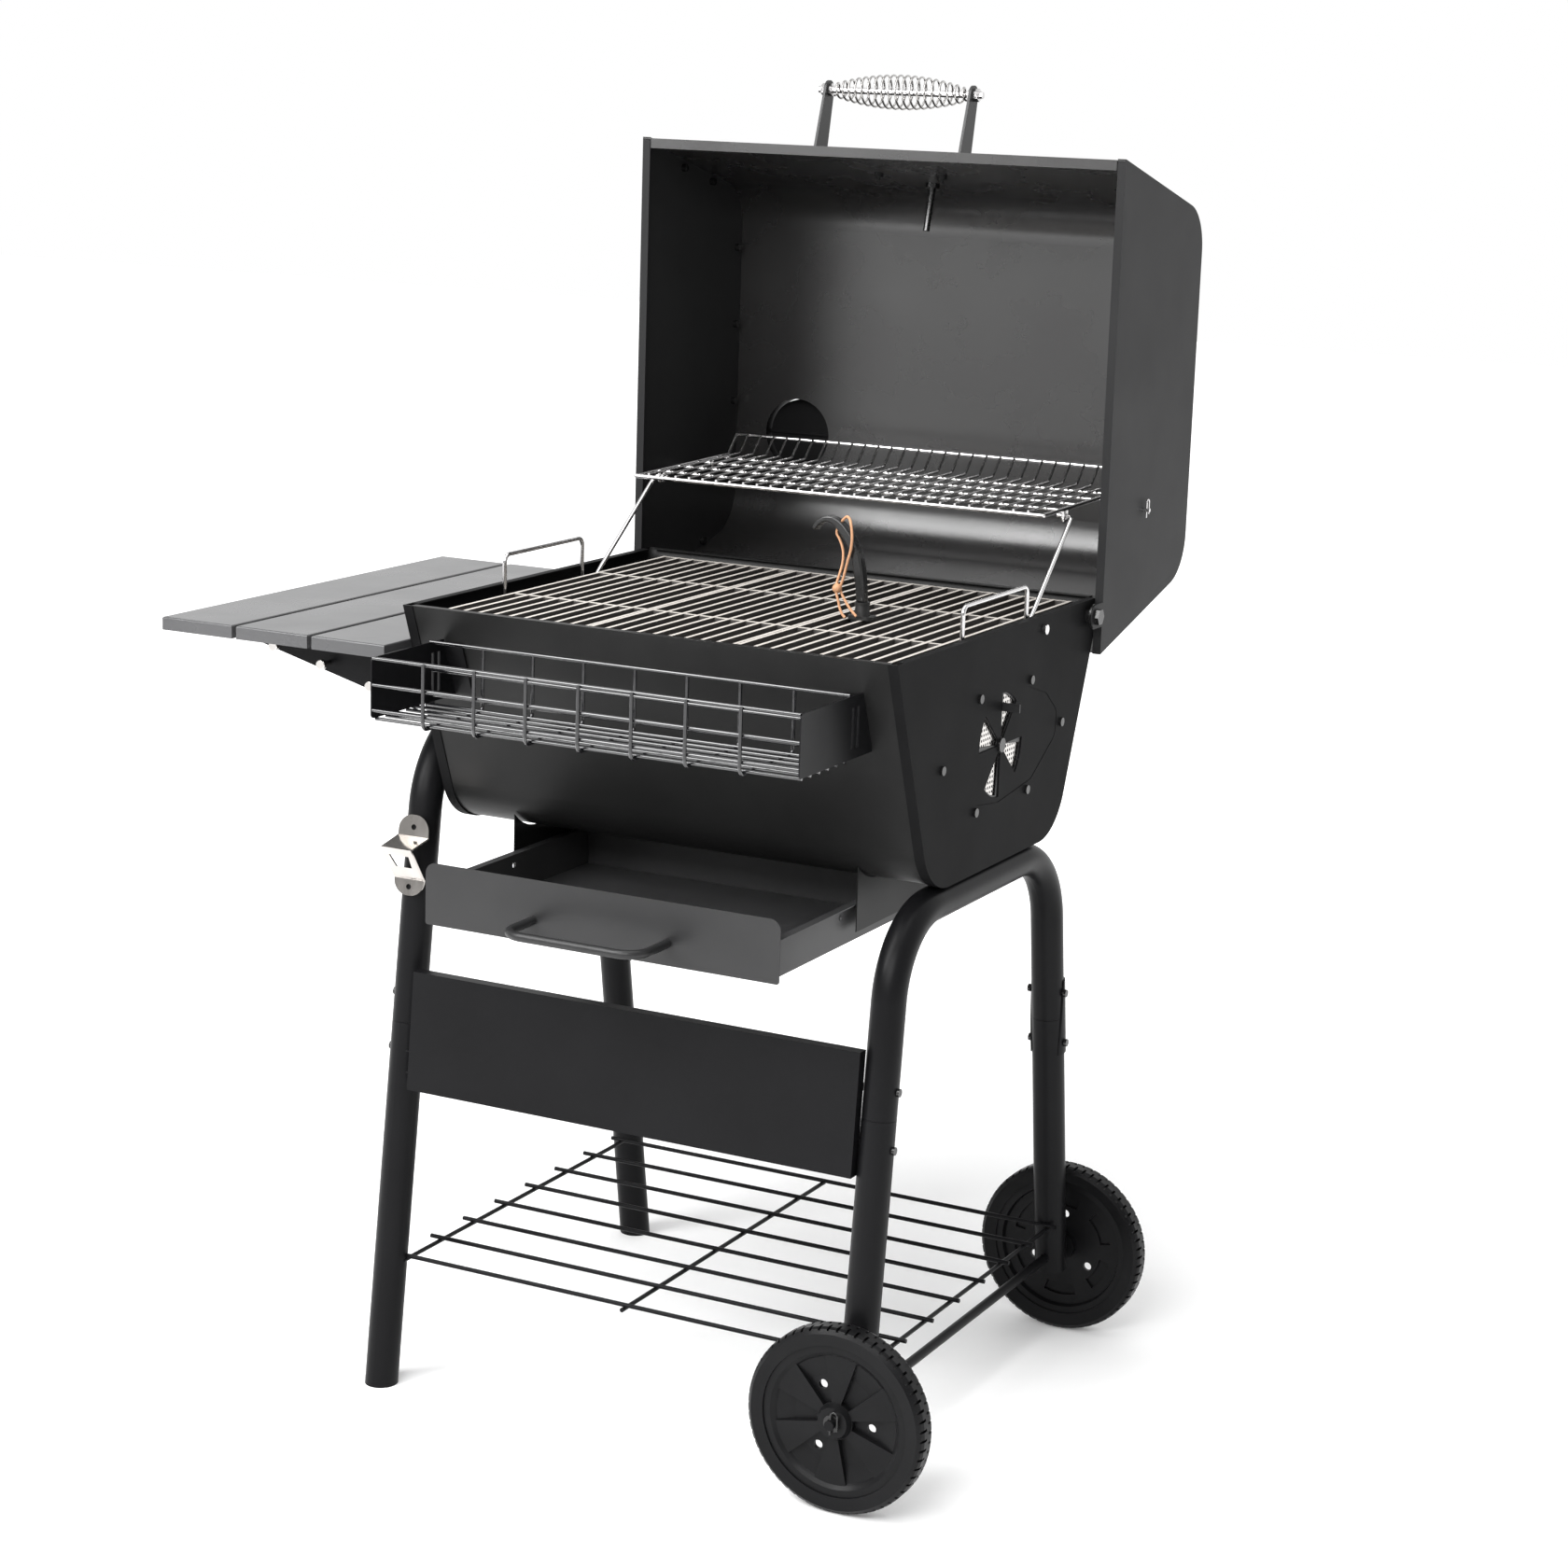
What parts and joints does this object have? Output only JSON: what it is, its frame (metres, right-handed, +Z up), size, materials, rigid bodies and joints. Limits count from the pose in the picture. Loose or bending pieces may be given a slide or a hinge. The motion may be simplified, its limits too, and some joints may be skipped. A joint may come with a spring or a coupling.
{
  "type": "charcoal barrel grill",
  "caption": "Charcoal barrel grill on a wheeled leg frame, with a hinged lid, folding warming rack, side table, front basket, ash drawer and wire shelf.",
  "frame": {"origin": "bottom centre of the whole object's box, on the floor", "axes": "+Z up, -Y towards the front with the basket and drawer, -X towards the side table, +X towards the wheels"},
  "size_m": [0.9952, 0.9545, 1.4845],
  "materials": {
    "baked_enamel": "satin black heat-proof paint on sheet steel",
    "powder_coat": "fine satin black powder coat",
    "black_screws": "blackened steel screws",
    "table_paint": "satin dark grey paint",
    "basket_wire": "semi-gloss black coated wire",
    "bright_wire": "bright plated wire",
    "stainless": "brushed stainless steel",
    "grate_enamel": "warm grey seasoned cast iron",
    "wheel_plastic": "moulded black plastic",
    "claw_iron": "black cast claw",
    "grip_plastic": "glossy black grip",
    "lace_leather": "tan leather lace"
  },
  "bodies": {
    "stand": {"firebox_wrap": "baked_enamel", "firebox_end_right": "baked_enamel", "firebox_end_left": "baked_enamel", "firebox_screws": "black_screws", "vent_mesh": "stainless", "ash_chute": "baked_enamel", "leg_frame_left": "powder_coat", "leg_frame_right": "powder_coat", "lower_leg_front_left": "powder_coat", "lower_leg_rear_left": "powder_coat", "lower_leg_front_right": "powder_coat", "lower_leg_rear_right": "powder_coat", "leg_screws": "black_screws", "leg_splice_plate": "powder_coat", "axle": "powder_coat", "axle_pins": "black_screws", "wire_shelf": "powder_coat", "front_panel": "powder_coat", "table_slat_outer": "table_paint", "table_slat_middle": "table_paint", "table_slat_inner": "table_paint", "table_bracket_front": "powder_coat", "table_bracket_rear": "powder_coat", "table_pegs": "stainless", "basket_wires": "basket_wire", "basket_ends": "powder_coat", "bottle_opener": "stainless", "hinge_bolts": "black_screws"},
    "lid": {"lid_wrap": "baked_enamel", "lid_end_right": "baked_enamel", "lid_end_left": "baked_enamel", "lid_bolts": "black_screws", "handle_bracket": "baked_enamel", "handle_rod": "bright_wire", "handle_nuts": "bright_wire", "handle_coil": "bright_wire", "thermometer": "stainless", "exhaust_collar": "baked_enamel"},
    "exhaust_flap": {"exhaust_damper": "baked_enamel"},
    "rack": {"warming_rack": "bright_wire", "rack_hairpins": "bright_wire"},
    "rack_crank_left": {"rack_leg_left": "bright_wire"},
    "rack_crank_right": {"rack_leg_right": "bright_wire"},
    "ash_drawer": {"drawer_pan": "baked_enamel", "drawer_front": "baked_enamel", "drawer_handle": "baked_enamel"},
    "wheel_near": {"tyre_near": "wheel_plastic", "wheel_disc_near": "wheel_plastic"},
    "wheel_far": {"tyre_far": "wheel_plastic", "wheel_disc_far": "wheel_plastic"},
    "vent_damper": {"side_damper": "baked_enamel"},
    "charcoal_carrier": {"charcoal_tray": "baked_enamel", "tray_handles": "bright_wire"},
    "grate_left": {"cooking_grate_left": "grate_enamel"},
    "grate_middle": {"cooking_grate_middle": "grate_enamel"},
    "grate_right": {"cooking_grate_right": "grate_enamel"},
    "lifter": {"lifter_claw": "claw_iron", "lifter_handle": "grip_plastic", "leather_lace": "lace_leather", "lace_knot": "lace_leather"}
  },
  "joints": [
    {"name": "lid_hinge", "type": "hinge", "parent": "stand", "child": "lid", "pos_m": [0.10435, 0.17725, 0.8851], "axis": [1, 0, 0], "range_deg": [0, 90]},
    {"name": "warming_rack_pivot", "type": "hinge", "parent": "lid", "child": "rack", "pos_m": [0.10435, 0.30875, 0.9944], "axis": [1, 0, 0], "range_deg": [-90, 0]},
    {"name": "rack_leg_left_pivot", "type": "hinge", "parent": "stand", "child": "rack_crank_left", "pos_m": [-0.19565, 0.04785, 0.8877], "axis": [1, 0, 0], "range_deg": [0, 90]},
    {"name": "rack_leg_right_pivot", "type": "hinge", "parent": "stand", "child": "rack_crank_right", "pos_m": [0.40435, 0.04785, 0.8877], "axis": [1, 0, 0], "range_deg": [0, 90]},
    {"name": "exhaust_flap_turn", "type": "hinge", "parent": "lid", "child": "exhaust_flap", "pos_m": [-0.11765, 0.46825, 1.0276], "axis": [1, 0, 0], "range_deg": [0, 90]},
    {"name": "ash_drawer_slide", "type": "slide", "parent": "stand", "child": "ash_drawer", "axis": [0, 1, 0], "range_m": [-0.07, 0.177]},
    {"name": "wheel_near_spin", "type": "hinge", "parent": "stand", "child": "wheel_near", "pos_m": [0.39425, -0.38125, 0.1034], "axis": [0, 1, 0], "continuous": true},
    {"name": "wheel_far_spin", "type": "hinge", "parent": "stand", "child": "wheel_far", "pos_m": [0.39425, 0.22875, 0.1034], "axis": [0, 1, 0], "continuous": true},
    {"name": "vent_damper_turn", "type": "hinge", "parent": "stand", "child": "vent_damper", "pos_m": [0.40135, -0.05725, 0.774], "axis": [1, 0, 0], "range_deg": [-34, 0]},
    {"name": "charcoal_tray_lift", "type": "slide", "parent": "stand", "child": "charcoal_carrier", "axis": [0, 0, -1], "range_m": [-0.05, 0]},
    {"name": "grate_left_lift", "type": "slide", "parent": "stand", "child": "grate_left", "axis": [0, 0, -1], "range_m": [-0.06, 0]},
    {"name": "grate_middle_lift", "type": "slide", "parent": "stand", "child": "grate_middle", "axis": [0, 0, -1], "range_m": [-0.06, 0]},
    {"name": "grate_right_lift", "type": "slide", "parent": "stand", "child": "grate_right", "axis": [0, 0, -1], "range_m": [-0.06, 0]},
    {"name": "lifter_lift", "type": "slide", "parent": "grate_right", "child": "lifter", "axis": [0, 0, -1], "range_m": [-0.06, 0]}
  ],
  "couplings": [
    {"joint": "warming_rack_pivot", "follows": "lid_hinge", "ratio": -1},
    {"joint": "rack_leg_left_pivot", "follows": "lid_hinge", "ratio": 1},
    {"joint": "rack_leg_right_pivot", "follows": "lid_hinge", "ratio": 1}
  ]
}
